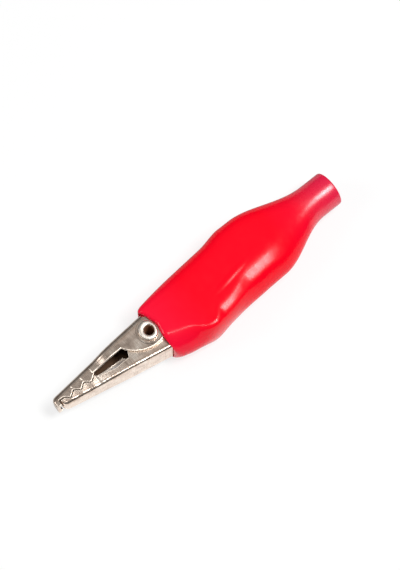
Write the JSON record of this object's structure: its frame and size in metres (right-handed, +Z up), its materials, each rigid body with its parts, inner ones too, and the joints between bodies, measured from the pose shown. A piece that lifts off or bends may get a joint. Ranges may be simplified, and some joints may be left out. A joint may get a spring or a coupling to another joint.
{
  "type": "crocodile clip",
  "caption": "Small crocodile clip of plated sheet steel with a hollow hinge rivet, toothed jaws and a red dip-moulded PVC boot with a bore for a lead in its tail.",
  "frame": {"origin": "middle of the whole clip along and across, on the surface that it lies on", "axes": "+X along the clip from the jaw tips to the boot's tail, +Y across the jaws towards the upper jaw, +Z up, along the hinge rivet"},
  "size_m": [0.055, 0.0128, 0.0077],
  "materials": {
    "jaw_steel": "nickel-plated pressed steel, satin with faint rolling lines",
    "rivet_steel": "nickel-plated, bright",
    "spring_wire": "drawn spring steel wire",
    "screw_steel": "nickel-plated, turned",
    "boot_pvc": "glossy dip-moulded soft PVC"
  },
  "bodies": {
    "lower_jaw": {"lower_jaw": "jaw_steel", "hinge_rivet": "rivet_steel", "torsion_spring": "spring_wire"},
    "upper_jaw": {"upper_jaw": "jaw_steel"},
    "wire_screw": {"wire_screw": "screw_steel"},
    "boot": {"boot": "boot_pvc"}
  },
  "joints": [
    {"name": "jaw_hinge", "type": "hinge", "parent": "lower_jaw", "child": "upper_jaw", "pos_m": [-0.0097, 0.00007, 0.00386], "axis": [0, 0, -1], "range_deg": [0, 22], "stiffness_Nm_per_rad": 0.02, "springref_deg": -14.32, "deforming": ["torsion_spring"]},
    {"name": "screw_travel", "type": "slide", "parent": "lower_jaw", "child": "wire_screw", "axis": [0, 1, 0], "range_m": [0, 0.0008]},
    {"name": "boot_slide", "type": "slide", "parent": "lower_jaw", "child": "boot", "axis": [1, 0, 0], "range_m": [0, 0.032], "deforming": ["boot"]}
  ]
}
